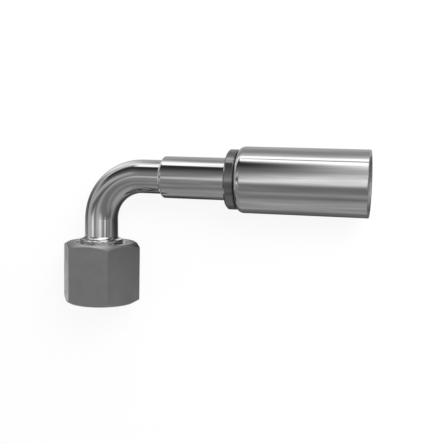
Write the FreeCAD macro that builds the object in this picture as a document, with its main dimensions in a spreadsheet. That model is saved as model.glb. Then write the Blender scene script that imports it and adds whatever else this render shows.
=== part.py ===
"""Swept elbow hose fitting: a swivel nut and seat, a bent tube, and a hose tail with its crimp ferrule.

Millimetres. The nut's mouth is centred on the origin and faces -Y, the bent tube turns to +X, and +Z is up:
the fitting lies on one flat of the nut.
"""

import FreeCAD, Part
import math
import os
import re

import Sketcher

SIZES = {
    # Swivel nut, measured along its own axis from the mouth, its wall from the thread to the flats
    "thread_diameter": 22.225,
    "nut_wall": 2.3875,
    "nut_height": 23.2,
    "nut_end_inset": 0.7,
    "nut_chamfer_angle": 30.0,
    "thread_depth": 10.0,
    "thread_lead_in": 0.5,
    "thread_relief": 0.35,
    "swivel_bore_length": 8.4,
    "nut_rear_edge": 0.2,
    # Seat nose inside the nut, its walls measured outwards from the tube
    "nose_length": 12.55,
    "nose_step": 1.55,
    "nose_edge": 0.25,
    "nose_step_inset": 0.15,
    "seat_land": 0.3,
    "seat_angle": 37.0,
    "nose_bore": 9.0,
    "nose_bore_length": 2.2,
    "collar_wall": 1.85,
    "collar_stand": 1.25,
    "collar_edge": 0.25,
    # Thrust wire between nut and nose
    "wire_diameter": 1.6,
    "wire_setback": 5.4,
    "wire_wrap_angle": 342.0,
    "wire_hole_diameter": 2.2,
    # Bent tube
    "tube_diameter": 12.7,
    "tube_wall": 1.5,
    "bend_radius": 16.7,
    "nose_side_straight": 7.85,
    "tail_side_straight": 8.1,
    # Hose insert
    "sleeve_length": 25.2,
    "sleeve_wall": 1.45,
    "sleeve_round": 1.0,
    "sleeve_socket_depth": 9.4,
    "ring_seat_depth": 0.5,
    "lock_groove_depth": 1.1,
    "lock_shoulder_length": 3.0,
    "nipple_bore": 7.0,
    "nipple_wall": 1.6,
    "nipple_setback": 1.6,
    "nipple_lead_in": 0.9,
    "nipple_bore_edge": 0.4,
    "barb_pitch": 4.8,
    "barb_depth": 0.5,
    "barb_face": 0.3,
    "barb_slope": 2.6,
    "barb_clear_start": 4.0,
    "barb_clear_end": 3.2,
    # Stop collar
    "ring_width": 3.6,
    "ring_inset": 1.15,
    "ring_front_edge": 0.6,
    "ring_rear_edge": 0.35,
    # Crimp ferrule
    "ferrule_length": 47.8,
    "hose_space": 4.55,
    "ferrule_round": 2.6,
    "ferrule_rear_edge": 0.15,
    "ferrule_flange": 2.6,
    "ferrule_wall": 2.6,
    "ferrule_mouth_edge": 0.5,
    "rib_pitch": 6.4,
    "rib_groove_depth": 0.6,
    "rib_groove_floor": 3.4,
    "rib_clear_start": 2.5,
    "rib_clear_end": 4.6,
    # Braze fillets
    "nose_fillet_height": 1.1,
    "nose_fillet_radius": 2.1,
    "nose_fillet_inset": 0.05,
    "stem_fillet_length": 0.55,
    "stem_fillet_width": 0.3,
    # Clearances between pieces, on the radius
    "swivel_clearance": 0.08,
    "wire_clearance": 0.06,
    "braze_gap": 0.05,
    "swage_gap": 0.05,
    # How far a cutting outline stands past the metal it removes
    "cut_margin": 1.0,
}

# Formulas for what follows from the sizes
THREAD_RADIUS = "(thread_diameter / 2)"
NUT_FLAT = f"({THREAD_RADIUS} + nut_wall)"
NUT_CORNER = f"({NUT_FLAT} / cos(30))"
NUT_END_RADIUS = f"({NUT_FLAT} - nut_end_inset)"
RELIEF_RADIUS = f"({THREAD_RADIUS} + thread_relief)"
TUBE_RADIUS = "(tube_diameter / 2)"
TUBE_BORE_RADIUS = "(tube_diameter / 2 - tube_wall)"
SOCKET_RADIUS = "(tube_diameter / 2 + braze_gap)"
COLLAR_RADIUS = f"({SOCKET_RADIUS} + collar_wall)"
COLLAR_TOP = "(nut_height + collar_stand)"
NOSE_RADIUS = f"({COLLAR_RADIUS} + nose_step)"
NOSE_STEP_HEIGHT = "(nut_height - nose_step_inset)"
NOSE_FRONT = f"({NOSE_STEP_HEIGHT} - nose_length)"
NUT_BORE_RADIUS = f"({NOSE_RADIUS} + swivel_clearance)"
WIRE_RING_RADIUS = f"({NOSE_RADIUS} + swivel_clearance / 2)"
WIRE_HEIGHT = "(nut_height - wire_setback)"
WIRE_GROOVE_RADIUS = "(wire_diameter / 2 + wire_clearance)"
WIRE_GROOVE_HALF = f"sqrt({WIRE_GROOVE_RADIUS}^2 - (swivel_clearance / 2)^2)"
SEAT_MOUTH_RADIUS = f"({NOSE_RADIUS} - nose_edge - seat_land)"
SEAT_FLOOR = f"({NOSE_FRONT} + ({SEAT_MOUTH_RADIUS} - nose_bore / 2) / tan(seat_angle))"
NOSE_SOCKET_FLOOR = f"({SEAT_FLOOR} + nose_bore_length)"
TAIL_HEIGHT = f"({COLLAR_TOP} + nose_side_straight + bend_radius)"
SLEEVE_START = "(bend_radius + tail_side_straight)"
SLEEVE_RADIUS = f"({SOCKET_RADIUS} + sleeve_wall)"
SLEEVE_SOCKET_FLOOR = f"({SLEEVE_START} + sleeve_socket_depth)"
RING_START = f"({SLEEVE_START} + sleeve_length)"
RING_SEAT_RADIUS = f"({SLEEVE_RADIUS} - ring_seat_depth)"
NIPPLE_BORE_RADIUS = "(nipple_bore / 2)"
NIPPLE_RADIUS = f"({NIPPLE_BORE_RADIUS} + nipple_wall)"
FERRULE_BORE_RADIUS = f"({NIPPLE_RADIUS} + hose_space)"
FERRULE_RADIUS = f"({FERRULE_BORE_RADIUS} + ferrule_wall)"
FERRULE_START = f"({RING_START} + ring_width)"
FERRULE_END = f"({FERRULE_START} + ferrule_length)"
FLANGE_REAR = f"({FERRULE_START} + ferrule_flange)"
LOCK_GROOVE_RADIUS = f"({SLEEVE_RADIUS} - lock_groove_depth)"
FLANGE_HOLE_RADIUS = f"({LOCK_GROOVE_RADIUS} + swage_gap)"
SHOULDER_END = f"({FLANGE_REAR} + lock_shoulder_length)"
NIPPLE_START = f"({SHOULDER_END} + {RING_SEAT_RADIUS} - {NIPPLE_RADIUS})"
NIPPLE_END = f"({FERRULE_END} - nipple_setback)"
BARB_SPAN = f"({NIPPLE_END} - barb_clear_end - {NIPPLE_START} - barb_clear_start)"
BARB_COUNT = f"(floor({BARB_SPAN} / barb_pitch) + 1)"
RIB_SPAN = f"({FERRULE_END} - rib_clear_end - rib_groove_floor - {FLANGE_REAR} - rib_clear_start)"
RIB_COUNT = f"(floor({RIB_SPAN} / rib_pitch) + 1)"

document = FreeCAD.newDocument("swept_elbow_hose_fitting")
sheet = document.addObject("Spreadsheet::Sheet", "Sizes")
for row, (alias, size) in enumerate(SIZES.items(), start=1):
    sheet.set(f"A{row}", alias.replace("_", " "))
    sheet.set(f"B{row}", str(size))
    sheet.setAlias(f"B{row}", alias)
document.recompute()


def bound(formula):
    """The formula with each size pointed at its cell in the sheet."""
    return re.sub(r"[a-z_]+", lambda name: f"Sizes.{name[0]}" if name[0] in SIZES else name[0], formula)


def value(formula):
    """The formula's present value, as a plain number."""
    return float(sheet.evalExpression(bound(formula)))


def new_body(label, height="0"):
    """An empty body whose origin stands at the given height along the nut's axis."""
    body = document.addObject("PartDesign::Body", label)
    body.Label = label
    if height != "0":
        body.setExpression("Placement.Base.y", bound(height))
    document.recompute()
    return body


def origin_feature(body, role):
    """The body's own origin plane or axis with this role."""
    return next(item for item in body.Origin.OriginFeatures if item.Role == role)


def new_sketch(body, name, plane):
    """An empty sketch on one of the body's origin planes."""
    sketch = body.newObject("Sketcher::SketchObject", name)
    sketch.AttachmentSupport = (origin_feature(body, plane), [""])
    sketch.MapMode = "FlatFace"
    document.recompute()
    return sketch


def pin_coordinate(sketch, kind, line, end, formula):
    """Hold one end of a line at a coordinate: on the sketch's axis, or at a bound distance from it."""
    if formula == "0":
        axis = -2 if kind == "DistanceX" else -1
        sketch.addConstraint(Sketcher.Constraint("PointOnObject", line, end, axis))
        return
    index = sketch.addConstraint(Sketcher.Constraint(kind, line, end, value(formula)))
    sketch.setExpression(f"Constraints[{index}]", bound(formula))


def arc_between(start, end, radius, bulge):
    """An arc from start to end: it passes left of the straight way where bulge is 1, right where it is -1."""
    chord = end - start
    left = FreeCAD.Vector(-chord.y, chord.x, 0).normalize()
    rise = radius - math.sqrt(max(radius**2 - chord.Length**2 / 4, 0.0))
    return Part.Arc(start, (start + end) * 0.5 + left * (bulge * rise), end)


def add_outline(sketch, corners):
    """Draw a closed outline. Each corner is (x, y), or (x, y, radius, bulge) where an arc runs to the next one."""
    places = [FreeCAD.Vector(value(corner[0]), value(corner[1]), 0) for corner in corners]
    first = sketch.GeometryCount
    count = len(corners)
    for index, corner in enumerate(corners):
        start, end = places[index], places[(index + 1) % count]
        if len(corner) == 2:
            sketch.addGeometry(Part.LineSegment(start, end))
        else:
            sketch.addGeometry(arc_between(start, end, value(corner[2]), corner[3]))
    starts, ends = [], []
    for index, corner in enumerate(corners):
        drawn_start = sketch.getPoint(first + index, 1)
        forward = (drawn_start - places[index]).Length < (sketch.getPoint(first + index, 2) - places[index]).Length
        starts.append(1 if forward else 2)
        ends.append(2 if forward else 1)
    for index, corner in enumerate(corners):
        following = (index + 1) % count
        sketch.addConstraint(
            Sketcher.Constraint("Coincident", first + index, ends[index], first + following, starts[following])
        )
        pin_coordinate(sketch, "DistanceX", first + index, starts[index], corner[0])
        pin_coordinate(sketch, "DistanceY", first + index, starts[index], corner[1])
        if len(corner) > 2:
            radius = sketch.addConstraint(Sketcher.Constraint("Radius", first + index, value(corner[2])))
            sketch.setExpression(f"Constraints[{radius}]", bound(corner[2]))


def add_circle(sketch, x, y, radius):
    """Draw a circle about a bound centre."""
    centre = FreeCAD.Vector(value(x), value(y), 0)
    circle = sketch.addGeometry(Part.Circle(centre, FreeCAD.Vector(0, 0, 1), value(radius)))
    pin_coordinate(sketch, "DistanceX", circle, 3, x)
    pin_coordinate(sketch, "DistanceY", circle, 3, y)
    index = sketch.addConstraint(Sketcher.Constraint("Radius", circle, value(radius)))
    sketch.setExpression(f"Constraints[{index}]", bound(radius))


def turned(body, name, axis, outlines, angle="360", cut=False):
    """Turn closed outlines in the XY plane about a sketch axis, as metal added or cut away."""
    sketch = new_sketch(body, f"{name}_outline", "XY_Plane")
    for outline in outlines:
        add_outline(sketch, outline)
    feature = body.newObject("PartDesign::Groove" if cut else "PartDesign::Revolution", name)
    feature.Profile = sketch
    feature.ReferenceAxis = (sketch, [axis])
    feature.setExpression("Angle", bound(angle))
    document.recompute()
    return feature


def repeat_along(body, name, feature, count, pitch):
    """Repeat a feature along the body's X axis."""
    pattern = body.newObject("PartDesign::LinearPattern", name)
    pattern.Originals = [feature]
    pattern.Direction = (origin_feature(body, "X_Axis"), [""])
    pattern.setExpression("Occurrences", bound(count))
    pattern.setExpression("Length", bound(f"{pitch} * ({count} - 1)"))
    body.Tip = pattern
    document.recompute()
    return pattern


def make_swivel_nut():
    """Hexagon nut: ends turned down, thread bore and its relief, swivel bore, wire groove and wire hole."""
    body = new_body("swivel_nut")
    hexagon = new_sketch(body, "hexagon", "XZ_Plane")
    corner = value(NUT_CORNER)
    corners = [
        FreeCAD.Vector(corner * math.cos(math.radians(60 * k)), corner * math.sin(math.radians(60 * k)), 0)
        for k in range(6)
    ]
    for k in range(6):
        hexagon.addGeometry(Part.LineSegment(corners[k], corners[(k + 1) % 6]))
    circle = hexagon.addGeometry(Part.Circle(FreeCAD.Vector(0, 0, 0), FreeCAD.Vector(0, 0, 1), corner), True)
    hexagon.addConstraint(Sketcher.Constraint("Coincident", circle, 3, -1, 1))
    radius = hexagon.addConstraint(Sketcher.Constraint("Radius", circle, corner))
    hexagon.setExpression(f"Constraints[{radius}]", bound(NUT_CORNER))
    for k in range(6):
        hexagon.addConstraint(Sketcher.Constraint("Coincident", k, 2, (k + 1) % 6, 1))
        hexagon.addConstraint(Sketcher.Constraint("PointOnObject", k, 1, circle))
    for k in range(1, 6):
        hexagon.addConstraint(Sketcher.Constraint("Equal", 0, k))
    hexagon.addConstraint(Sketcher.Constraint("PointOnObject", 0, 1, -1))
    blank = body.newObject("PartDesign::Pad", "hexagon_bar")
    blank.Profile = hexagon
    blank.Reversed = True
    blank.setExpression("Length", bound("nut_height"))
    document.recompute()

    reach = f"({NUT_CORNER} + cut_margin)"
    drop = f"(({reach} - {NUT_END_RADIUS}) * tan(nut_chamfer_angle))"
    mouth = [(NUT_END_RADIUS, "0"), (reach, "0"), (reach, drop)]
    rear = [(NUT_END_RADIUS, "nut_height"), (reach, f"nut_height - {drop}"), (reach, "nut_height")]
    turned(body, "end_chamfers", "V_Axis", [mouth, rear], cut=True)

    bore = [
        ("0", "0"),
        (f"{THREAD_RADIUS} + thread_lead_in", "0"),
        (THREAD_RADIUS, "thread_lead_in"),
        (THREAD_RADIUS, "thread_depth"),
        (RELIEF_RADIUS, "thread_depth + thread_relief"),
        (RELIEF_RADIUS, f"nut_height - swivel_bore_length - {RELIEF_RADIUS} + {NUT_BORE_RADIUS}"),
        (NUT_BORE_RADIUS, "nut_height - swivel_bore_length"),
        (NUT_BORE_RADIUS, f"{WIRE_HEIGHT} - {WIRE_GROOVE_HALF}", WIRE_GROOVE_RADIUS, -1),
        (NUT_BORE_RADIUS, f"{WIRE_HEIGHT} + {WIRE_GROOVE_HALF}"),
        (NUT_BORE_RADIUS, "nut_height - nut_rear_edge"),
        (f"{NUT_BORE_RADIUS} + nut_rear_edge", "nut_height"),
        ("0", "nut_height"),
    ]
    turned(body, "bore", "V_Axis", [bore], cut=True)

    entry = new_sketch(body, "wire_entry_outline", "XY_Plane")
    add_circle(entry, WIRE_RING_RADIUS, WIRE_HEIGHT, "wire_hole_diameter / 2")
    hole = body.newObject("PartDesign::Pocket", "wire_entry")
    hole.Profile = entry
    hole.setExpression("Length", bound(NUT_FLAT))
    document.recompute()
    return body


def make_thrust_wire():
    """Round wire bent to an open ring, half in the nut's groove and half in the nose's."""
    body = new_body("thrust_wire")
    sketch = new_sketch(body, "wire_outline", "XY_Plane")
    add_circle(sketch, WIRE_RING_RADIUS, WIRE_HEIGHT, "wire_diameter / 2")
    ring = body.newObject("PartDesign::Revolution", "wire_ring")
    ring.Profile = sketch
    ring.ReferenceAxis = (sketch, ["V_Axis"])
    ring.setExpression("Angle", bound("wire_wrap_angle"))
    document.recompute()
    return body


def make_seat_nose():
    """Turned nose: hollow flare seat in front, wire groove, then the narrower collar with the tube's socket."""
    body = new_body("seat_nose")
    outline = [
        ("nose_bore / 2", SEAT_FLOOR),
        (SEAT_MOUTH_RADIUS, NOSE_FRONT),
        (f"{NOSE_RADIUS} - nose_edge", NOSE_FRONT),
        (NOSE_RADIUS, f"{NOSE_FRONT} + nose_edge"),
        (NOSE_RADIUS, f"{WIRE_HEIGHT} - {WIRE_GROOVE_HALF}", WIRE_GROOVE_RADIUS, 1),
        (NOSE_RADIUS, f"{WIRE_HEIGHT} + {WIRE_GROOVE_HALF}"),
        (NOSE_RADIUS, f"{NOSE_STEP_HEIGHT} - nose_edge"),
        (f"{NOSE_RADIUS} - nose_edge", NOSE_STEP_HEIGHT),
        (COLLAR_RADIUS, NOSE_STEP_HEIGHT),
        (COLLAR_RADIUS, f"{COLLAR_TOP} - collar_edge"),
        (f"{COLLAR_RADIUS} - collar_edge", COLLAR_TOP),
        (SOCKET_RADIUS, COLLAR_TOP),
        (SOCKET_RADIUS, NOSE_SOCKET_FLOOR),
        ("nose_bore / 2", NOSE_SOCKET_FLOOR),
    ]
    turned(body, "nose", "V_Axis", [outline])
    return body


def make_elbow_tube():
    """Drawn tube swept along a straight leg, one quarter bend and a second straight leg."""
    body = new_body("elbow_tube", NOSE_SOCKET_FLOOR)
    section = new_sketch(body, "tube_section", "XZ_Plane")
    add_circle(section, "0", "0", TUBE_RADIUS)
    add_circle(section, "0", "0", TUBE_BORE_RADIUS)

    rise = f"({COLLAR_TOP} + nose_side_straight - {NOSE_SOCKET_FLOOR})"
    run = "(tail_side_straight + sleeve_socket_depth)"
    foot = FreeCAD.Vector(0, 0, 0)
    bend_start = FreeCAD.Vector(0, value(rise), 0)
    bend_centre = FreeCAD.Vector(value("bend_radius"), value(rise), 0)
    bend_end = FreeCAD.Vector(value("bend_radius"), value(f"{rise} + bend_radius"), 0)
    tip = bend_end + FreeCAD.Vector(value(run), 0, 0)
    path = new_sketch(body, "tube_path", "XY_Plane")
    path.addGeometry(Part.LineSegment(foot, bend_start))
    bend = Part.Circle(bend_centre, FreeCAD.Vector(0, 0, 1), value("bend_radius"))
    path.addGeometry(Part.ArcOfCircle(bend, math.pi / 2, math.pi))
    path.addGeometry(Part.LineSegment(bend_end, tip))
    path.addConstraint(Sketcher.Constraint("Coincident", 0, 1, -1, 1))
    path.addConstraint(Sketcher.Constraint("Vertical", 0))
    path.addConstraint(Sketcher.Constraint("Tangent", 0, 2, 1, 2))
    path.addConstraint(Sketcher.Constraint("Tangent", 1, 1, 2, 1))
    path.addConstraint(Sketcher.Constraint("Horizontal", 2))
    for kind, element, formula in (
        ("DistanceY", 0, rise),
        ("Radius", 1, "bend_radius"),
        ("DistanceX", 2, run),
    ):
        place = (element,) if kind == "Radius" else (element, 1, element, 2)
        index = path.addConstraint(Sketcher.Constraint(kind, *place, value(formula)))
        path.setExpression(f"Constraints[{index}]", bound(formula))
    document.recompute()

    tube = body.newObject("PartDesign::AdditivePipe", "bent_tube")
    tube.Profile = section
    tube.Spine = (path, ["Edge1", "Edge2", "Edge3"])
    document.recompute()
    return body


def make_hose_insert():
    """Turned insert: tube socket, stop collar seat, lock groove and shoulder, and the barbed nipple."""
    body = new_body("hose_insert", TAIL_HEIGHT)
    outline = [
        (SLEEVE_START, SOCKET_RADIUS),
        (SLEEVE_START, f"{SLEEVE_RADIUS} - sleeve_round", "sleeve_round", 1),
        (f"{SLEEVE_START} + sleeve_round", SLEEVE_RADIUS),
        (RING_START, SLEEVE_RADIUS),
        (RING_START, RING_SEAT_RADIUS),
        (FERRULE_START, RING_SEAT_RADIUS),
        (FERRULE_START, LOCK_GROOVE_RADIUS),
        (FLANGE_REAR, LOCK_GROOVE_RADIUS),
        (FLANGE_REAR, RING_SEAT_RADIUS),
        (SHOULDER_END, RING_SEAT_RADIUS),
        (NIPPLE_START, NIPPLE_RADIUS),
        (f"{NIPPLE_END} - nipple_lead_in * 2", NIPPLE_RADIUS),
        (NIPPLE_END, f"{NIPPLE_RADIUS} - nipple_lead_in"),
        (NIPPLE_END, f"{NIPPLE_BORE_RADIUS} + nipple_bore_edge"),
        (f"{NIPPLE_END} - nipple_bore_edge", NIPPLE_BORE_RADIUS),
        (f"{SLEEVE_SOCKET_FLOOR} + ({TUBE_BORE_RADIUS} - {NIPPLE_BORE_RADIUS}) * 2", NIPPLE_BORE_RADIUS),
        (SLEEVE_SOCKET_FLOOR, TUBE_BORE_RADIUS),
        (SLEEVE_SOCKET_FLOOR, SOCKET_RADIUS),
    ]
    turned(body, "insert", "H_Axis", [outline])

    crest = f"({NIPPLE_RADIUS} + cut_margin)"
    first = f"({NIPPLE_END} - barb_clear_end - barb_pitch * ({BARB_COUNT} - 1))"
    root = f"({NIPPLE_RADIUS} - barb_depth)"
    barb = [
        (f"{first} - barb_slope", NIPPLE_RADIUS),
        (f"{first} - barb_face", root),
        (first, root),
        (first, crest),
        (f"{first} - barb_slope", crest),
    ]
    groove = turned(body, "barb", "H_Axis", [barb], cut=True)
    repeat_along(body, "barbs", groove, BARB_COUNT, "barb_pitch")
    return body


def make_stop_collar():
    """Plain ring pressed against the sleeve's shoulder, which the ferrule bears on."""
    body = new_body("stop_collar", TAIL_HEIGHT)
    radius = f"({FERRULE_RADIUS} - ring_inset)"
    outline = [
        (RING_START, RING_SEAT_RADIUS),
        (RING_START, f"{radius} - ring_front_edge"),
        (f"{RING_START} + ring_front_edge", radius),
        (f"{FERRULE_START} - ring_rear_edge", radius),
        (FERRULE_START, f"{radius} - ring_rear_edge"),
        (FERRULE_START, RING_SEAT_RADIUS),
    ]
    turned(body, "ring", "H_Axis", [outline])
    return body


def make_ferrule():
    """Crimp shell: flange swaged into the insert's groove, smooth outside, ribbed inside, open at the rear."""
    body = new_body("ferrule", TAIL_HEIGHT)
    outline = [
        (FERRULE_START, FLANGE_HOLE_RADIUS),
        (FERRULE_START, f"{FERRULE_RADIUS} - ferrule_round", "ferrule_round", 1),
        (f"{FERRULE_START} + ferrule_round", FERRULE_RADIUS),
        (f"{FERRULE_END} - ferrule_rear_edge", FERRULE_RADIUS),
        (FERRULE_END, f"{FERRULE_RADIUS} - ferrule_rear_edge"),
        (FERRULE_END, f"{FERRULE_BORE_RADIUS} + ferrule_mouth_edge"),
        (f"{FERRULE_END} - ferrule_mouth_edge", FERRULE_BORE_RADIUS),
        (FLANGE_REAR, FERRULE_BORE_RADIUS),
        (FLANGE_REAR, FLANGE_HOLE_RADIUS),
    ]
    turned(body, "shell", "H_Axis", [outline])

    first = f"({FERRULE_END} - rib_clear_end - rib_groove_floor - rib_pitch * ({RIB_COUNT} - 1))"
    inside = f"({FERRULE_BORE_RADIUS} - cut_margin)"
    floor = f"({FERRULE_BORE_RADIUS} + rib_groove_depth)"
    slot = [
        (f"{first} - rib_groove_depth", inside),
        (f"{first} - rib_groove_depth", FERRULE_BORE_RADIUS),
        (first, floor),
        (f"{first} + rib_groove_floor", floor),
        (f"{first} + rib_groove_floor", inside),
    ]
    groove = turned(body, "rib_groove", "H_Axis", [slot], cut=True)
    repeat_along(body, "ribs", groove, RIB_COUNT, "rib_pitch")
    return body


def make_nose_braze():
    """Ring of braze metal with a hollow face, filling the corner between the nose's collar and the tube."""
    body = new_body("nose_braze_ring")
    outline = [
        (TUBE_RADIUS, COLLAR_TOP),
        (f"{COLLAR_RADIUS} - collar_edge - nose_fillet_inset", COLLAR_TOP, "nose_fillet_radius", 1),
        (TUBE_RADIUS, f"{COLLAR_TOP} + nose_fillet_height"),
    ]
    turned(body, "fillet", "V_Axis", [outline])
    return body


def make_stem_braze():
    """Thin cone of braze metal in the corner between the sleeve's end face and the tube."""
    body = new_body("stem_braze_ring", TAIL_HEIGHT)
    outline = [
        (f"{SLEEVE_START} - stem_fillet_length", TUBE_RADIUS),
        (SLEEVE_START, f"{TUBE_RADIUS} + stem_fillet_width"),
        (SLEEVE_START, TUBE_RADIUS),
    ]
    turned(body, "fillet", "H_Axis", [outline])
    return body


def checked(bodies):
    """Stop with a plain message where an object failed to build or a body has no sound solid."""
    document.recompute()
    for item in document.Objects:
        if "Invalid" in item.State or "Error" in item.State:
            raise RuntimeError(f"{item.Label} failed: {item.State}")
    for body in bodies:
        if body.Shape.isNull() or not body.Shape.isValid() or body.Shape.Volume <= 0:
            raise RuntimeError(f"{body.Label} has no sound shape")
    return bodies


pieces = checked(
    [
        make_swivel_nut(),
        make_thrust_wire(),
        make_seat_nose(),
        make_nose_braze(),
        make_elbow_tube(),
        make_stem_braze(),
        make_hose_insert(),
        make_stop_collar(),
        make_ferrule(),
    ]
)
os.makedirs("parts", exist_ok=True)
for piece in pieces:
    piece.Shape.exportStep(f"parts/{piece.Label}.step")
    box = piece.Shape.BoundBox
    print(
        f"{piece.Label}: {piece.Shape.Volume:.1f} mm3, x {box.XMin:.2f} {box.XMax:.2f}, "
        f"y {box.YMin:.2f} {box.YMax:.2f}, z {box.ZMin:.2f} {box.ZMax:.2f}, solids {len(piece.Shape.Solids)}"
    )
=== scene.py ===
"""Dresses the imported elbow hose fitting: plated finishes, the nut's thread, a small studio and its camera.

Metres. The nut's mouth is centred on the origin and faces -Y, the hose tail runs to +X, and +Z is up.
"""

import logging
import math
from dataclasses import dataclass, replace
from enum import Enum

import bpy
from mathutils import Matrix, Vector


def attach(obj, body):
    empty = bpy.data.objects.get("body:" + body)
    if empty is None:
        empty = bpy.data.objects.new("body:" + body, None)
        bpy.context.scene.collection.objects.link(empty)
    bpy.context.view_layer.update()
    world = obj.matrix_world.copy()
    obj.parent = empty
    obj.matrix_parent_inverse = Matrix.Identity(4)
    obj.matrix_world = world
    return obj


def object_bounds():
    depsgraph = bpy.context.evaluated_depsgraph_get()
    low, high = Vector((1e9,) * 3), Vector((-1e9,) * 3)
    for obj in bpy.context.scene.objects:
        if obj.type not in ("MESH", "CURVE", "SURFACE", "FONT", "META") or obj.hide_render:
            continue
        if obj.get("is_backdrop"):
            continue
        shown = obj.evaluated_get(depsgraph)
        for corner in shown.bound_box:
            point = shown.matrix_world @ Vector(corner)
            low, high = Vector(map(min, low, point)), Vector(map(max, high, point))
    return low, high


log = logging.getLogger("hose_fitting")

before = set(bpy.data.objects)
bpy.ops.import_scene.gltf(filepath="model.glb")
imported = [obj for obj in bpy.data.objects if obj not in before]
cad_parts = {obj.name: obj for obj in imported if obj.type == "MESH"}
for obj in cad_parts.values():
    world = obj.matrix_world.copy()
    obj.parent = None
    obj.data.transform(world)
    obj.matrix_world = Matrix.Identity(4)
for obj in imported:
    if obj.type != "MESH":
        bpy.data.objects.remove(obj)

MM = 0.001
QUARTER_TURN = math.radians(90)
WHITE = (1.0, 1.0, 1.0, 1.0)

Socket = bpy.types.NodeSocket
Source = Socket | float | tuple[float, ...]
Ends = tuple[Source, Source]
Range = tuple[float, float]
PerAxis = tuple[float, float, float]
Stops = tuple[tuple[float, float], ...]


class Marks(Enum):
    """The way that fine tool marks run: how often they change along X, Y and Z."""

    ROUND_TAIL = (1.0, 0.05, 0.05)
    ROUND_NUT = (0.05, 1.0, 0.05)
    ALL_WAYS = (1.0, 1.0, 1.0)


class Wiring:
    """Adds nodes to one node tree and joins them."""

    def __init__(self, tree: bpy.types.NodeTree) -> None:
        """Keep the tree that is wired.

        Args:
            tree: The node tree of a material, a world or a geometry group.
        """
        self.tree = tree

    def add(self, kind: str, **settings: object) -> bpy.types.Node:
        """Add a node.

        Args:
            kind: Blender's name for the node.
            settings: The node's own properties, such as its operation.

        Returns:
            The new node.
        """
        node = self.tree.nodes.new(kind)
        for name, setting in settings.items():
            setattr(node, name, setting)
        return node

    def feed(self, socket: Socket, source: Source) -> None:
        """Give a socket its value.

        Args:
            socket: The input to fill.
            source: Another node's output, which is linked, or a plain value, which is set.
        """
        if isinstance(source, Socket):
            self.tree.links.new(source, socket)
        else:
            socket.default_value = source

    def split(self, place: Socket) -> tuple[Socket, Socket, Socket]:
        """Take a place apart into its X, Y and Z."""
        node = self.add("ShaderNodeSeparateXYZ")
        self.feed(node.inputs[0], place)
        x, y, z = node.outputs
        return x, y, z

    def stretch(self, place: Socket, scale: PerAxis) -> Socket:
        """Scale a place along X, Y and Z, so that a pattern on it changes as often as each number says.

        Args:
            place: The coordinates' output.
            scale: The factors along X, Y and Z.

        Returns:
            The scaled coordinates' output.
        """
        node = self.add("ShaderNodeMapping")
        self.feed(node.inputs["Vector"], place)
        node.inputs["Scale"].default_value = scale
        return node.outputs["Vector"]

    def math(self, operation: str, *values: Source) -> Socket:
        """Calculate with one to three values.

        Args:
            operation: Blender's name for the calculation.
            values: Outputs or plain numbers.

        Returns:
            The result's output.
        """
        node = self.add("ShaderNodeMath", operation=operation)
        for socket, value in zip(node.inputs, values):
            self.feed(socket, value)
        return node.outputs[0]

    def length(self, one: Source, other: Source) -> Socket:
        """Work out the long side of a right triangle from its two short sides."""
        squares = self.math("MULTIPLY_ADD", one, one, self.math("MULTIPLY", other, other))
        return self.math("SQRT", squares)

    def fit(self, value: Source, old: Ends, new: Ends, smooth: bool = False) -> Socket:
        """Move a value from one range to another, held at the ends.

        Args:
            value: The output to move.
            old: Where the old range starts and ends.
            new: Where the new range starts and ends.
            smooth: Whether the step has soft ends.

        Returns:
            The moved value's output.
        """
        node = self.add("ShaderNodeMapRange", interpolation_type="SMOOTHSTEP" if smooth else "LINEAR")
        for socket, source in zip(node.inputs, (value, *old, *new)):
            self.feed(socket, source)
        return node.outputs["Result"]

    def blend(self, one: Source, other: Source, share: Source) -> Socket:
        """Mix two values.

        Args:
            one: The value at a share of nought.
            other: The value at a share of one.
            share: How much of the other is taken.

        Returns:
            The mixed value's output.
        """
        return self.math("MULTIPLY_ADD", self.math("SUBTRACT", other, one), share, one)

    def noise(self, place: Socket, size: float, detail: float) -> Socket:
        """Make a soft random pattern.

        Args:
            place: The coordinates' output.
            size: How wide one patch of the pattern is.
            detail: How many finer layers it has.

        Returns:
            The pattern's output, about 0.5 in the middle.
        """
        node = self.add("ShaderNodeTexNoise")
        self.feed(node.inputs["Vector"], place)
        node.inputs["Scale"].default_value = 1.0 / size
        node.inputs["Detail"].default_value = detail
        return node.outputs["Fac"]

    def ramp(self, value: Source, stops: Stops) -> Socket:
        """Look a value up between stops.

        Args:
            value: The output to look up.
            stops: Pairs of a value and its result, in rising order of the value.

        Returns:
            The result's output.
        """
        first, last = stops[0][0], stops[-1][0]
        top = max(result for _, result in stops)
        node = self.add("ShaderNodeValToRGB")
        elements = node.color_ramp.elements
        # a new ramp has one stop at each end, and only the upper one stays
        elements.remove(elements[0])
        for at, result in stops[:-1]:
            elements.new((at - first) / (last - first)).color = (result / top,) * 3 + (1.0,)
        elements[-1].color = (stops[-1][1] / top,) * 3 + (1.0,)
        self.feed(node.inputs[0], self.fit(value, (first, last), (0.0, 1.0)))
        return self.math("MULTIPLY", node.outputs["Color"], top)


@dataclass(frozen=True)
class Centreline:
    """The line through the middle of the fitting: up the nut's axis, round the bend and along the tail."""

    bend_x: float = 16.7 * MM
    bend_y: float = 32.3 * MM
    bend_radius: float = 16.7 * MM

    def distance(self, wiring: Wiring, place: Socket) -> Socket:
        """Measure how far a point of a surface lies from the line.

        Args:
            wiring: The material's wiring.
            place: The piece's own coordinates.

        Returns:
            The distance's output, in metres.
        """
        x, y, z = wiring.split(place)
        before = wiring.math("MINIMUM", wiring.math("SUBTRACT", x, self.bend_x), 0.0)
        above = wiring.math("MAXIMUM", wiring.math("SUBTRACT", y, self.bend_y), 0.0)
        beside = wiring.math("SUBTRACT", wiring.length(before, above), self.bend_radius)
        return wiring.length(beside, z)


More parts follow.
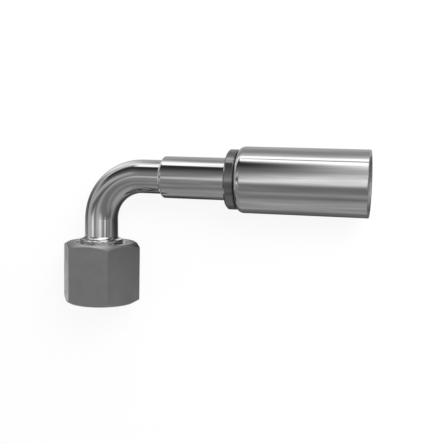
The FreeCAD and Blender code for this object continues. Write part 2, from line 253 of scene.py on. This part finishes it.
@dataclass(frozen=True)
class Plating:
    """A plated steel surface: its tone, its polish and its fine marks.

    Clouds vary the tone and the polish, scuffs dull small spots, and marks and waves bend what is mirrored.
    Metal nearer to the centreline than bore_radius is duller. The nut's turned end gets a painted highlight:
    its grey is multiplied by a gain.
    """

    name: str
    tone: float
    roughness: float
    marks: Marks
    metallic: float = 1.0
    mark_pitch: float = 0.15 * MM
    mark_detail: float = 3.0
    mark_depth: float = 0.0004 * MM
    cloud_size: float = 7.0 * MM
    cloud_stretch: PerAxis = (1.0, 1.0, 1.0)
    cloud_detail: float = 2.0
    cloud_range: Range = (0.3, 0.7)
    cloud_share: float = 0.05
    haze_share: float = 0.25
    scuff_size: float = 0.9 * MM
    scuff_detail: float = 5.0
    scuff_range: Range = (0.6, 0.78)
    scuff_share: float = 0.35
    wave_stretch: PerAxis = (0.2, 1.0, 1.0)
    wave_size: float = 4.0 * MM
    wave_detail: float = 1.0
    wave_depth: float = 0.0
    bore_radius: float = 0.0
    bore_edge: float = 0.1 * MM
    bore_roughness: float = 0.4
    turned_highlight_gain: float = 1.0
    turned_height: float = 23.2 * MM
    turned_radius: float = 12.8 * MM
    turned_slope: float = math.tan(math.radians(30))
    turned_edge: Range = (0.15 * MM, 0.05 * MM)
    corner_rise: Range = (0.6 * MM, 1.9 * MM)
    corner_share: float = 0.1

    def turned(self, wiring: Wiring, place: Socket) -> Socket:
        """Find the turned end face and its cone, where a highlight is painted into the grey, brighter than
        the flats.

        Args:
            wiring: The material's wiring.
            place: The piece's own coordinates.

        Returns:
            One on the turned faces, less towards the corners, and nought elsewhere.
        """
        x, y, z = wiring.split(place)
        past_rim = wiring.math("SUBTRACT", wiring.length(x, z), self.turned_radius)
        outside = wiring.math("MAXIMUM", past_rim, 0.0)
        height = wiring.math("MULTIPLY_ADD", outside, self.turned_slope, y)
        begins, ends = (self.turned_height - below for below in self.turned_edge)
        zone = wiring.fit(height, (begins, ends), (0.0, 1.0))
        towards_corners = wiring.fit(outside, self.corner_rise, (1.0, self.corner_share))
        return wiring.math("MULTIPLY", zone, towards_corners)

    def colour(self, share: float) -> tuple[float, float, float, float]:
        """The plating's grey at a share of its full tone."""
        tone = self.tone * share
        return (tone, tone, tone, 1.0)

    def surface_tone(self, wiring: Wiring, place: Socket, clouds: Socket) -> Socket:
        """Vary the grey a little from cloud to cloud, and paint a highlight on the nut's turned end by
        raising its grey there.

        Args:
            wiring: The material's wiring.
            place: The piece's own coordinates.
            clouds: The cloudy pattern.

        Returns:
            The colour's output.
        """
        mix = wiring.add("ShaderNodeMix", data_type="RGBA")
        factor, pale, dark = mix.inputs[0], mix.inputs[6], mix.inputs[7]
        wiring.feed(factor, wiring.fit(clouds, self.cloud_range, (0.0, 1.0)))
        wiring.feed(pale, self.colour(1.0 + self.cloud_share))
        wiring.feed(dark, self.colour(1.0 - self.cloud_share))
        mixed = mix.outputs[2]
        if self.turned_highlight_gain == 1.0:
            return mixed
        # painted highlight: the grey is scaled up on the nut's turned end face and cone, less towards the
        # corners
        highlighted_tone = wiring.add("ShaderNodeVectorMath", operation="SCALE")
        wiring.feed(highlighted_tone.inputs[0], mixed)
        wiring.feed(highlighted_tone.inputs["Scale"], wiring.blend(1.0, self.turned_highlight_gain, self.turned(wiring, place)))
        return highlighted_tone.outputs["Vector"]

    def surface_roughness(self, wiring: Wiring, place: Socket, clouds: Socket) -> Socket:
        """Haze the polish with the clouds, scuff it in small spots and dull it in the bore.

        Args:
            wiring: The material's wiring.
            place: The piece's own coordinates.
            clouds: The cloudy pattern.

        Returns:
            The roughness's output.
        """
        low = self.roughness * (1.0 - self.haze_share)
        high = self.roughness * (1.0 + self.haze_share)
        haze = wiring.fit(clouds, self.cloud_range, (low, high))
        spots = wiring.noise(wiring.stretch(place, self.marks.value), self.scuff_size, self.scuff_detail)
        scuffs = wiring.fit(spots, self.scuff_range, (0.0, self.roughness * self.scuff_share), smooth=True)
        roughness = wiring.math("ADD", haze, scuffs)
        if not self.bore_radius:
            return roughness
        away = Centreline().distance(wiring, place)
        inside = wiring.fit(away, (self.bore_radius, self.bore_radius + self.bore_edge), (1.0, 0.0))
        return wiring.blend(roughness, self.bore_roughness, inside)

    def surface_normal(self, wiring: Wiring, place: Socket) -> Socket:
        """Lay fine tool marks on the surface, over long low waves where it has them.

        Args:
            wiring: The material's wiring.
            place: The piece's own coordinates.

        Returns:
            The normal's output.
        """
        marks = wiring.add("ShaderNodeBump")
        marks.inputs["Distance"].default_value = self.mark_depth
        along = wiring.stretch(place, self.marks.value)
        wiring.feed(marks.inputs["Height"], wiring.noise(along, self.mark_pitch, self.mark_detail))
        if self.wave_depth:
            waves = wiring.add("ShaderNodeBump")
            waves.inputs["Distance"].default_value = self.wave_depth
            slow = wiring.stretch(place, self.wave_stretch)
            wiring.feed(waves.inputs["Height"], wiring.noise(slow, self.wave_size, self.wave_detail))
            wiring.feed(marks.inputs["Normal"], waves.outputs["Normal"])
        return marks.outputs["Normal"]

    def material(self) -> bpy.types.Material:
        """Build the finish.

        Returns:
            A material that reads the piece's own coordinates.
        """
        made = bpy.data.materials.new(self.name)
        made.use_nodes = True
        wiring = Wiring(made.node_tree)
        place = wiring.add("ShaderNodeTexCoord").outputs["Object"]
        clouds = wiring.noise(wiring.stretch(place, self.cloud_stretch), self.cloud_size, self.cloud_detail)
        shader = made.node_tree.nodes["Principled BSDF"]
        shader.inputs["Metallic"].default_value = self.metallic
        wiring.feed(shader.inputs["Base Color"], self.surface_tone(wiring, place, clouds))
        wiring.feed(shader.inputs["Roughness"], self.surface_roughness(wiring, place, clouds))
        wiring.feed(shader.inputs["Normal"], self.surface_normal(wiring, place))
        return made


def dress(node: str, finish: bpy.types.Material) -> bpy.types.Object:
    """Give a CAD node its finish.

    Args:
        node: The node's name.
        finish: The material for all its faces.

    Returns:
        The dressed piece.
    """
    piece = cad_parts[node]
    piece.data.materials.clear()
    piece.data.materials.append(finish)
    return piece


@dataclass
class SwivelNut:
    """The hexagon nut, the turns of its thread and the wire that holds it on the nose.

    The ridge's height, root and crest are shares of the pitch, as on a 60 degree thread. The ridge sinks a
    little into the bore's wall and runs out at both ends, over a share of its length.
    """

    thread_radius: float = 11.1125 * MM
    thread_pitch: float = 25.4 / 14 * MM
    thread_start: float = 0.35 * MM
    thread_end: float = 9.9 * MM
    ridge_share: float = 0.625 * math.cos(math.radians(30))
    root_share: float = 0.86
    crest_share: float = 0.25
    sink: float = 0.04 * MM
    runout: float = 0.06
    runout_share: float = 0.02
    points_per_turn: int = 72
    sharp_angle: float = math.radians(30)

    def thread_tree(self, finish: bpy.types.Material) -> bpy.types.NodeTree:
        """Build the tree that winds one ridge round the bore.

        Args:
            finish: The ridge's material.

        Returns:
            A geometry tree with the thread's sizes as inputs.
        """
        tree = bpy.data.node_groups.new("nut_thread_turns", "GeometryNodeTree")
        sockets = tree.interface
        sockets.new_socket("Geometry", in_out="OUTPUT", socket_type="NodeSocketGeometry")
        for name in ("Radius", "Length", "Turns", "Start", "Ridge", "Root", "Crest", "Sink", "Runout"):
            sockets.new_socket(name, in_out="INPUT", socket_type="NodeSocketFloat")
        sockets.new_socket("Points", in_out="INPUT", socket_type="NodeSocketInt")
        wiring = Wiring(tree)
        given = wiring.add("NodeGroupInput").outputs

        spiral = wiring.add("GeometryNodeCurveSpiral")
        wiring.feed(spiral.inputs["Resolution"], given["Points"])
        wiring.feed(spiral.inputs["Rotations"], given["Turns"])
        wiring.feed(spiral.inputs["Start Radius"], given["Radius"])
        wiring.feed(spiral.inputs["End Radius"], given["Radius"])
        wiring.feed(spiral.inputs["Height"], given["Length"])
        level = wiring.add("GeometryNodeSetCurveNormal", mode="Z_UP")
        wiring.feed(level.inputs["Curve"], spiral.outputs["Curve"])

        ridge = wiring.add("GeometryNodeCurvePrimitiveQuadrilateral", mode="TRAPEZOID")
        wiring.feed(ridge.inputs["Height"], wiring.math("ADD", given["Ridge"], given["Sink"]))
        wiring.feed(ridge.inputs["Bottom Width"], given["Root"])
        wiring.feed(ridge.inputs["Top Width"], given["Crest"])
        ridge.inputs["Offset"].default_value = 0.0
        seat = wiring.add("GeometryNodeTransform")
        wiring.feed(seat.inputs["Geometry"], ridge.outputs["Curve"])
        lift = wiring.add("ShaderNodeCombineXYZ")
        half = wiring.math("MULTIPLY", wiring.math("SUBTRACT", given["Ridge"], given["Sink"]), 0.5)
        wiring.feed(lift.inputs["X"], half)
        wiring.feed(seat.inputs["Translation"], lift.outputs["Vector"])
        seat.inputs["Rotation"].default_value = (0.0, 0.0, -QUARTER_TURN)

        along = wiring.add("GeometryNodeSplineParameter").outputs["Factor"]
        rise = wiring.fit(along, (0.0, given["Runout"]), (self.runout_share, 1.0))
        back = wiring.math("SUBTRACT", 1.0, along)
        fall = wiring.fit(back, (0.0, given["Runout"]), (self.runout_share, 1.0))
        sweep = wiring.add("GeometryNodeCurveToMesh")
        wiring.feed(sweep.inputs["Curve"], level.outputs["Curve"])
        wiring.feed(sweep.inputs["Profile Curve"], seat.outputs["Geometry"])
        wiring.feed(sweep.inputs["Scale"], wiring.math("MINIMUM", rise, fall))
        sweep.inputs["Fill Caps"].default_value = True

        turn = wiring.add("GeometryNodeTransform")
        wiring.feed(turn.inputs["Geometry"], sweep.outputs["Mesh"])
        turn.inputs["Rotation"].default_value = (-QUARTER_TURN, 0.0, 0.0)
        shift = wiring.add("ShaderNodeCombineXYZ")
        wiring.feed(shift.inputs["Y"], given["Start"])
        wiring.feed(turn.inputs["Translation"], shift.outputs["Vector"])
        real = wiring.add("GeometryNodeRealizeInstances")
        wiring.feed(real.inputs["Geometry"], turn.outputs["Geometry"])
        coat = wiring.add("GeometryNodeSetMaterial")
        wiring.feed(coat.inputs["Geometry"], real.outputs["Geometry"])
        coat.inputs["Material"].default_value = finish
        wiring.feed(wiring.add("NodeGroupOutput").inputs["Geometry"], coat.outputs["Geometry"])
        return tree

    def thread(self, finish: bpy.types.Material) -> bpy.types.Object:
        """Make the turns that stand in the nut's bore.

        Args:
            finish: The thread's material.

        Returns:
            The thread as a plain mesh that rides on the nut.
        """
        ridge = self.thread_pitch * self.ridge_share
        length = self.thread_end - self.thread_start - self.thread_pitch * self.root_share
        sizes = {
            "Radius": self.thread_radius,
            "Length": length,
            "Turns": length / self.thread_pitch,
            "Start": self.thread_start + self.thread_pitch * self.root_share / 2,
            "Ridge": ridge,
            "Root": self.thread_pitch * self.root_share,
            "Crest": self.thread_pitch * self.crest_share,
            "Sink": self.sink,
            "Runout": self.runout,
            "Points": self.points_per_turn,
        }
        tree = self.thread_tree(finish)
        holder = bpy.data.objects.new("thread_maker", bpy.data.meshes.new("thread_maker"))
        bpy.context.scene.collection.objects.link(holder)
        modifier = holder.modifiers.new("turns", "NODES")
        modifier.node_group = tree
        for item in tree.interface.items_tree:
            if item.in_out == "INPUT":
                modifier[item.identifier] = sizes[item.name]
        shaped = holder.evaluated_get(bpy.context.evaluated_depsgraph_get())
        mesh = bpy.data.meshes.new_from_object(shaped)
        bpy.data.objects.remove(holder)
        mesh.name = "nut_thread"
        thread = bpy.data.objects.new("nut_thread", mesh)
        bpy.context.scene.collection.objects.link(thread)
        mesh.set_sharp_from_angle(angle=self.sharp_angle)
        for polygon in mesh.polygons:
            polygon.use_smooth = True
        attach(thread, "nut")
        return thread

    def build(self, satin: Plating, wire: Plating) -> list[bpy.types.Object]:
        """Dress the nut and its wire and cut the thread.

        Args:
            satin: The nut's finish.
            wire: The thrust wire's finish.

        Returns:
            The nut's pieces.
        """
        finish = satin.material()
        nut = dress("swivel_nut", finish)
        ring = dress("thrust_wire", wire.material())
        return [nut, ring, self.thread(finish)]


@dataclass
class SeatAndTube:
    """The seat nose, the bent tube and the braze at the tube's two ends.

    The sizes say how far from the centreline the duller metal of the two bores reaches.
    """

    nose_bore: float = 4.6 * MM
    tube_bore: float = 5.4 * MM

    def build(self, nose: Plating, tube: Plating, braze: Plating) -> list[bpy.types.Object]:
        """Dress the nose, the tube and the braze rings.

        Args:
            nose: The turned nose's finish.
            tube: The drawn tube's finish.
            braze: The finish of both fillets.

        Returns:
            The four pieces.
        """
        fillet = braze.material()
        return [
            dress("seat_nose", replace(nose, bore_radius=self.nose_bore).material()),
            dress("elbow_tube", replace(tube, bore_radius=self.tube_bore).material()),
            dress("nose_braze_ring", fillet),
            dress("stem_braze_ring", fillet),
        ]


@dataclass
class HoseTail:
    """The hose insert, the stop collar and the ferrule.

    The sizes say how far from the centreline the duller metal of the two bores reaches.
    """

    insert_bore: float = 5.4 * MM
    ferrule_bore: float = 10.3 * MM

    def build(self, bright: Plating, dark: Plating) -> list[bpy.types.Object]:
        """Dress the turned pieces of the tail.

        Args:
            bright: The finish of the insert and the ferrule.
            dark: The stop collar's finish.

        Returns:
            The three pieces.
        """
        insert = replace(bright, name="bright_plating_insert", bore_radius=self.insert_bore)
        ferrule = replace(bright, name="bright_plating_ferrule", bore_radius=self.ferrule_bore)
        return [
            dress("hose_insert", insert.material()),
            dress("stop_collar", dark.material()),
            dress("ferrule", ferrule.material()),
        ]


@dataclass(frozen=True)
class Room:
    """What the metal mirrors above the floor: bands of light and dark that run along the tail.

    The tables pair an angle with a strength of light. The angle turns round the tail's axis: 0 is straight
    up and 90 degrees is +Y. A second angle runs along the tail, from 0 at -X to 180 at +X. Where it is
    larger than open_from says, the light is that of around, dimmed towards +X by dark_end. Where it is
    smaller, the light is that of beside, or of beyond below beyond_until, with a pale side wall towards -X.

    The angle of across turns round the nut's axis instead: 0 is straight up and 90 degrees is +X. It
    changes the light only near the horizon.
    """

    around: Stops = (
        (-90.0, 0.60),
        (-84.0, 0.57),
        (-76.0, 0.53),
        (-67.0, 0.47),
        (-59.0, 0.34),
        (-53.0, 0.29),
        (-46.0, 0.38),
        (-40.0, 0.44),
        (-34.0, 0.34),
        (-28.0, 0.28),
        (-19.0, 0.28),
        (-14.0, 0.31),
        (-11.0, 0.42),
        (-7.5, 0.75),
        (-4.0, 1.18),
        (-1.0, 1.32),
        (9.0, 1.36),
        (17.0, 1.20),
        (25.0, 1.02),
        (32.0, 0.88),
        (42.0, 0.92),
        (51.0, 1.18),
        (57.0, 1.45),
        (63.0, 1.90),
        (68.0, 2.20),
        (77.1, 2.20),
        (78.4, 0.45),
        (81.4, 0.45),
        (82.7, 2.20),
        (90.0, 2.20),
    )
    beside: Stops = (
        (-90.0, 0.42),
        (-76.0, 0.47),
        (-67.0, 0.43),
        (-59.0, 0.31),
        (-53.0, 0.29),
        (-41.0, 0.44),
        (-34.0, 0.36),
        (-28.0, 0.33),
        (-19.0, 0.45),
        (-12.0, 0.38),
        (-7.0, 0.62),
        (-3.0, 0.90),
        (1.0, 0.85),
        (6.0, 0.50),
        (10.0, 0.34),
        (20.0, 0.38),
        (30.0, 0.30),
        (38.0, 0.20),
        (48.0, 0.10),
        (57.0, 0.04),
        (67.0, 0.05),
        (70.5, 0.12),
        (74.0, 1.90),
        (84.0, 2.00),
        (90.0, 1.80),
    )
    open_from: Stops = (
        (-90.0, 77.0),
        (-12.0, 76.0),
        (3.0, 76.5),
        (12.0, 78.0),
        (20.0, 80.0),
        (34.0, 83.5),
        (50.0, 84.0),
        (60.0, 84.0),
        (66.0, 81.5),
        (72.0, 77.0),
        (80.0, 77.0),
        (90.0, 76.0),
    )
    beyond: Stops = (
        (-90.0, 0.42),
        (-67.0, 0.43),
        (-53.0, 0.29),
        (-41.0, 0.44),
        (-28.0, 0.33),
        (-18.0, 0.62),
        (-8.0, 0.60),
        (-3.0, 0.30),
        (2.0, 0.16),
        (7.0, 0.22),
        (12.0, 0.50),
        (22.0, 0.72),
        (30.0, 0.62),
        (37.0, 0.25),
        (50.0, 0.14),
        (62.0, 0.05),
        (73.0, 0.05),
        (79.0, 0.30),
        (84.0, 0.70),
        (90.0, 0.95),
    )
    beyond_until: Range = (63.0, 71.0)
    side_wall: float = 0.60
    side_wall_until: Range = (20.0, 42.0)
    softness: float = 6.0
    dark_end: Range = (0.70, 0.95)
    dark_end_share: float = 0.6
    across: Stops = (
        (-90.0, 1.05),
        (-62.0, 1.3),
        (-54.0, 1.05),
        (-45.0, 2.45),
        (-41.0, 2.5),
        (-37.0, 1.9),
        (-30.0, 0.56),
        (-22.0, 0.75),
        (-12.0, 0.92),
        (-4.0, 0.92),
        (2.0, 1.05),
        (8.0, 1.5),
        (14.0, 1.65),
        (21.0, 0.88),
        (33.0, 0.45),
        (37.0, 0.75),
        (41.0, 1.45),
        (47.0, 2.3),
        (52.0, 0.9),
        (55.0, 0.6),
        (60.0, 1.6),
        (66.0, 2.2),
        (73.0, 1.9),
        (80.0, 1.8),
        (90.0, 2.0),
    )
    horizon: float = -0.11
    horizon_height: float = 0.13

    def bands(self, wiring: Wiring, way: tuple[Socket, Socket, Socket]) -> Socket:
        """Lay the bands of light round and along the tail.

        Args:
            wiring: The world's wiring.
            way: The mirrored direction's X, Y and Z.

        Returns:
            The light's strength.
        """
        x, y, z = way
        degrees = math.degrees(1.0)
        round_tail = wiring.math("MULTIPLY", wiring.math("ARCTAN2", y, z), degrees)
        along_tail = wiring.math("ADD", wiring.math("MULTIPLY", wiring.math("ARCSINE", x), degrees), 90.0)
        edge = wiring.ramp(round_tail, self.open_from)
        near = wiring.math("SUBTRACT", edge, self.softness)
        far = wiring.math("ADD", edge, self.softness)
        opened = wiring.fit(along_tail, (near, far), (0.0, 1.0), smooth=True)
        wall = wiring.fit(along_tail, self.side_wall_until, (self.side_wall, 0.0), smooth=True)
        past_bend = wiring.math("MAXIMUM", wiring.ramp(round_tail, self.beyond), wall)
        reached = wiring.fit(along_tail, self.beyond_until, (0.0, 1.0), smooth=True)
        closed = wiring.blend(past_bend, wiring.ramp(round_tail, self.beside), reached)
        both = wiring.blend(closed, wiring.ramp(round_tail, self.around), opened)
        end = wiring.fit(x, self.dark_end, (1.0, self.dark_end_share), smooth=True)
        return wiring.math("MULTIPLY", both, end)

    def streaks(self, wiring: Wiring, way: tuple[Socket, Socket, Socket]) -> Socket:
        """Lay upright streaks round the nut's axis, near the horizon only.

        Args:
            wiring: The world's wiring.
            way: The mirrored direction's X, Y and Z.

        Returns:
            The factor by which the streaks change the light.
        """
        x, y, z = way
        round_nut = wiring.math("MULTIPLY", wiring.math("ARCTAN2", x, z), math.degrees(1.0))
        off_horizon = wiring.math("ABSOLUTE", wiring.math("SUBTRACT", y, self.horizon))
        nearness = wiring.fit(off_horizon, (0.0, self.horizon_height), (1.0, 0.0), smooth=True)
        change = wiring.math("SUBTRACT", wiring.ramp(round_nut, self.across), 1.0)
        return wiring.math("MULTIPLY_ADD", change, nearness, 1.0)

    def build(self) -> None:
        """Build the room as the scene's world, which is white where the camera sees it itself."""
        world = bpy.data.worlds.new("studio_room")
        bpy.context.scene.world = world
        world.use_nodes = True
        world.node_tree.nodes.clear()
        wiring = Wiring(world.node_tree)
        way = wiring.split(wiring.add("ShaderNodeTexCoord").outputs["Generated"])
        light = wiring.math("MULTIPLY", self.bands(wiring, way), self.streaks(wiring, way))
        mirrored = wiring.add("ShaderNodeBackground")
        mirrored.inputs["Color"].default_value = WHITE
        wiring.feed(mirrored.inputs["Strength"], light)
        seen = wiring.add("ShaderNodeBackground")
        seen.inputs["Color"].default_value = WHITE
        rays = wiring.add("ShaderNodeLightPath").outputs
        choice = wiring.add("ShaderNodeMixShader")
        wiring.feed(choice.inputs[0], rays["Is Camera Ray"])
        wiring.feed(choice.inputs[1], mirrored.outputs[0])
        wiring.feed(choice.inputs[2], seen.outputs[0])
        wiring.feed(wiring.add("ShaderNodeOutputWorld").inputs["Surface"], choice.outputs[0])
        log.info("%s: %d stops of light round the tail", world.name, len(self.around))


@dataclass(frozen=True)
class PaintedFloorSpot:
    """A round spot of painted light, or painted shade where the gain is below nought, that the metal mirrors
    on the floor.
    """

    x: float
    y: float
    inner: float
    outer: float
    gain: float


@dataclass
class Studio:
    """The pale floor, the soft lamp and the white ground that the camera sees.

    The floor glows for the metal's reflections with painted light and painted shade, laid out by place,
    where the camera sees even white.
    The tables pair a place in metres with a strength or a share: mirror_length, side_length and
    corner_length along Y, and mirror_side along X.
    """

    floor_half: float = 1.5
    floor_tone: float = 0.85
    camera_white: float = 0.9
    mirror_share: float = 0.92
    # painted light and shade: how strongly the floor glows in the metal's reflections, by place
    mirror_length: Stops = (
        (-0.60, 0.49),
        (-0.10, 0.48),
        (-0.04, 0.42),
        (-0.015, 0.46),
        (-0.001, 0.34),
        (0.008, 0.16),
        (0.019, 0.15),
        (0.026, 0.07),
        (0.045, 0.09),
        (0.055, 0.25),
        (0.061, 0.52),
        (0.064, 0.62),
        (0.068, 0.47),
        (0.0745, 0.60),
        (0.080, 0.45),
        (0.089, 0.38),
        (0.111, 0.43),
        (0.135, 0.62),
        (0.20, 0.82),
        (0.32, 1.15),
        (0.60, 1.70),
    )
    mirror_side: Stops = (
        (-0.20, 0.8),
        (-0.12, 0.9),
        (-0.07, 1.3),
        (-0.05, 2.6),
        (-0.03, 2.6),
        (-0.012, 2.0),
        (0.004, 1.3),
        (0.02, 1.0),
        (0.10, 1.0),
    )
    side_length: Stops = ((-0.03, 0.0), (-0.005, 1.0), (0.15, 1.0), (0.30, 0.0))
    corner_side: Range = (-0.035, -0.012)
    corner_share: float = 0.3
    corner_length: Stops = ((0.035, 0.0), (0.045, 1.0), (0.074, 1.0), (0.088, 0.0))
    # painted bright spots and painted shade spots on the floor, seen only in the metal's reflections
    painted_floor_spots: tuple[PaintedFloorSpot, ...] = (
        PaintedFloorSpot(x=-0.004, y=0.033, inner=0.006, outer=0.015, gain=1.3),
        PaintedFloorSpot(x=-0.035, y=0.010, inner=0.006, outer=0.022, gain=0.5),
        PaintedFloorSpot(x=-0.015, y=0.085, inner=0.010, outer=0.030, gain=0.5),
        PaintedFloorSpot(x=0.024, y=0.031, inner=0.008, outer=0.020, gain=-0.10),
        PaintedFloorSpot(x=0.1025, y=0.050, inner=0.010, outer=0.0135, gain=-0.14),
    )
    lamp_place: PerAxis = (0.32, 0.30, 0.42)
    lamp_size: float = 0.30
    lamp_power: float = 3.0

    def painted_mirror_light(self, wiring: Wiring, spot: Socket, level: float) -> Socket:
        """Paint the light and shade that the metal mirrors at each spot of the floor, as the strength of the
        floor's glow.

        Args:
            wiring: The floor material's wiring.
            spot: The floor's own coordinates.
            level: The height of the floor.

        Returns:
            The strength's output.
        """
        x, y, _ = wiring.split(spot)
        sides = wiring.blend(1.0, wiring.ramp(x, self.mirror_side), wiring.ramp(y, self.side_length))
        broad = wiring.math("MULTIPLY", wiring.ramp(y, self.mirror_length), sides)
        # painted shade: the floor's glow is dimmed towards the -X corner
        dimmed = wiring.fit(x, self.corner_side, (self.corner_share, 1.0), smooth=True)
        corner = wiring.blend(1.0, dimmed, wiring.ramp(y, self.corner_length))
        tone = wiring.math("MULTIPLY", broad, corner)
        # each spot adds painted light or painted shade to the floor's glow
        for patch in self.painted_floor_spots:
            away = wiring.add("ShaderNodeVectorMath", operation="DISTANCE")
            wiring.feed(away.inputs[0], spot)
            wiring.feed(away.inputs[1], (patch.x, patch.y, level))
            reach = (patch.inner, patch.outer)
            change = wiring.fit(away.outputs["Value"], reach, (patch.gain, 0.0), smooth=True)
            tone = wiring.math("ADD", tone, change)
        return wiring.math("MAXIMUM", tone, 0.0)

    def floor_material(self, level: float) -> bpy.types.Material:
        """Build the floor's pale paper, near white to the camera and with the fitting's shadow on it, and
        glowing with painted light and shade where the metal mirrors it.

        Args:
            level: The height of the floor.

        Returns:
            The floor's material.
        """
        made = bpy.data.materials.new("pale_paper")
        made.use_nodes = True
        tree = made.node_tree
        tree.nodes.clear()
        wiring = Wiring(tree)
        rays = wiring.add("ShaderNodeLightPath").outputs
        spot = wiring.add("ShaderNodeTexCoord").outputs["Object"]
        less = wiring.math("SUBTRACT", self.painted_mirror_light(wiring, spot, level), 1.0)
        paper = wiring.add("ShaderNodeBsdfDiffuse")
        paper.inputs["Color"].default_value = (self.floor_tone, self.floor_tone, self.floor_tone, 1.0)
        white = wiring.add("ShaderNodeEmission")
        white.inputs["Color"].default_value = WHITE
        # for glossy rays the floor glows with the painted light and shade instead of plain white
        wiring.feed(white.inputs["Strength"], wiring.math("MULTIPLY_ADD", less, rays["Is Glossy Ray"], 1.0))
        seen = wiring.math("MULTIPLY", rays["Is Camera Ray"], self.camera_white)
        through = wiring.math("MULTIPLY", rays["Is Transmission Ray"], self.camera_white)
        mirrored = wiring.math("MULTIPLY", rays["Is Glossy Ray"], self.mirror_share)
        share = wiring.math("MAXIMUM", seen, wiring.math("MAXIMUM", through, mirrored))
        mix = wiring.add("ShaderNodeMixShader")
        wiring.feed(mix.inputs[0], share)
        wiring.feed(mix.inputs[1], paper.outputs[0])
        wiring.feed(mix.inputs[2], white.outputs[0])
        wiring.feed(wiring.add("ShaderNodeOutputMaterial").inputs["Surface"], mix.outputs[0])
        return made

    def build(self) -> bpy.types.Object:
        """Lay the floor under the fitting and hang the lamp.

        Returns:
            The floor.
        """
        low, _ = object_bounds()
        half = self.floor_half
        sides = ((-half, -half), (half, -half), (half, half), (-half, half))
        corners = [(x, y, low.z) for x, y in sides]
        mesh = bpy.data.meshes.new("floor")
        mesh.from_pydata(corners, [], [(0, 1, 2, 3)])
        mesh.materials.append(self.floor_material(low.z))
        floor = bpy.data.objects.new("floor", mesh)
        bpy.context.scene.collection.objects.link(floor)
        floor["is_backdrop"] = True

        lamp = bpy.data.lights.new("soft_lamp", "AREA")
        lamp.energy = self.lamp_power
        lamp.size = self.lamp_size
        holder = bpy.data.objects.new("soft_lamp", lamp)
        holder.location = self.lamp_place
        holder.rotation_euler = (-Vector(self.lamp_place)).to_track_quat("-Z", "Y").to_euler()
        bpy.context.scene.collection.objects.link(holder)
        holder.visible_glossy = False
        return floor


@dataclass
class Viewpoint:
    """The camera, placed as seen by someone for whom the nut's mouth points down."""

    azimuth: float = math.radians(13.445)
    elevation: float = math.radians(6.132)
    roll: float = math.radians(1.211)
    distance: float = 318.453 * MM
    slide_right: float = 45.968 * MM
    slide_up: float = -18.047 * MM
    focal_pixels: float = 831.142
    picture_side: float = 444.0
    sensor_width: float = 36.0
    clip: Range = (0.01, 10.0)
    tail_height: float = 49.0 * MM

    def build(self) -> None:
        """Set up the scene's camera."""
        data = bpy.data.cameras.new("camera")
        data.sensor_width = self.sensor_width
        data.lens = self.sensor_width * self.focal_pixels / self.picture_side
        data.clip_start, data.clip_end = self.clip
        camera = bpy.data.objects.new("camera", data)
        laid_down = Matrix.Rotation(-QUARTER_TURN, 4, "X")
        heading = Matrix.Rotation(self.azimuth, 4, "Z")
        tilt = Matrix.Rotation(QUARTER_TURN - self.elevation, 4, "X")
        turn = laid_down @ heading @ tilt @ Matrix.Rotation(self.roll, 4, "Z")
        offset = turn @ Vector((self.slide_right, self.slide_up, self.distance))
        place = Vector((0.0, self.tail_height, 0.0)) + offset
        camera.matrix_world = Matrix.Translation(place) @ turn
        bpy.context.scene.collection.objects.link(camera)
        bpy.context.scene.camera = camera
        log.info("%s: %.1f mm lens", camera.name, data.lens)


def main() -> None:
    """Build the sub-assemblies, the studio and the camera, and report the pieces."""
    logging.basicConfig(level=logging.INFO, format="%(name)s: %(message)s")
    bpy.context.scene.view_settings.view_transform = "Standard"
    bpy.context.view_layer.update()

    satin = Plating(
        name="satin_plating",
        tone=0.27,
        roughness=0.42,
        marks=Marks.ALL_WAYS,
        metallic=0.95,
        mark_depth=0.0002 * MM,
        turned_highlight_gain=1.7,
    )
    wire = Plating(name="drawn_wire", tone=0.45, roughness=0.2, marks=Marks.ALL_WAYS)
    nose = Plating(name="bright_plating_nose", tone=0.5, roughness=0.09, marks=Marks.ROUND_NUT)
    tube = Plating(name="bright_plating_tube", tone=0.5, roughness=0.07, marks=Marks.ALL_WAYS)
    braze = Plating(name="plated_braze", tone=0.6, roughness=0.12, marks=Marks.ALL_WAYS)
    dark = Plating(
        name="dark_plating_ring",
        tone=0.18,
        roughness=0.09,
        marks=Marks.ROUND_TAIL,
        metallic=0.88,
    )
    bright = Plating(
        name="bright_plating",
        tone=0.5,
        roughness=0.07,
        marks=Marks.ROUND_TAIL,
        cloud_size=1.2 * MM,
        cloud_stretch=(0.05, 1.0, 1.0),
        cloud_share=0.13,
        wave_depth=0.02 * MM,
    )

    pieces = [
        *SwivelNut().build(satin, wire),
        *SeatAndTube().build(nose, tube, braze),
        *HoseTail().build(bright, dark),
        Studio().build(),
    ]
    Room().build()
    Viewpoint().build()
    for piece in pieces:
        finish = piece.data.materials[0]
        log.info("%s: %d faces in %s", piece.name, len(piece.data.polygons), finish.name)


if __name__ == "__main__":
    main()
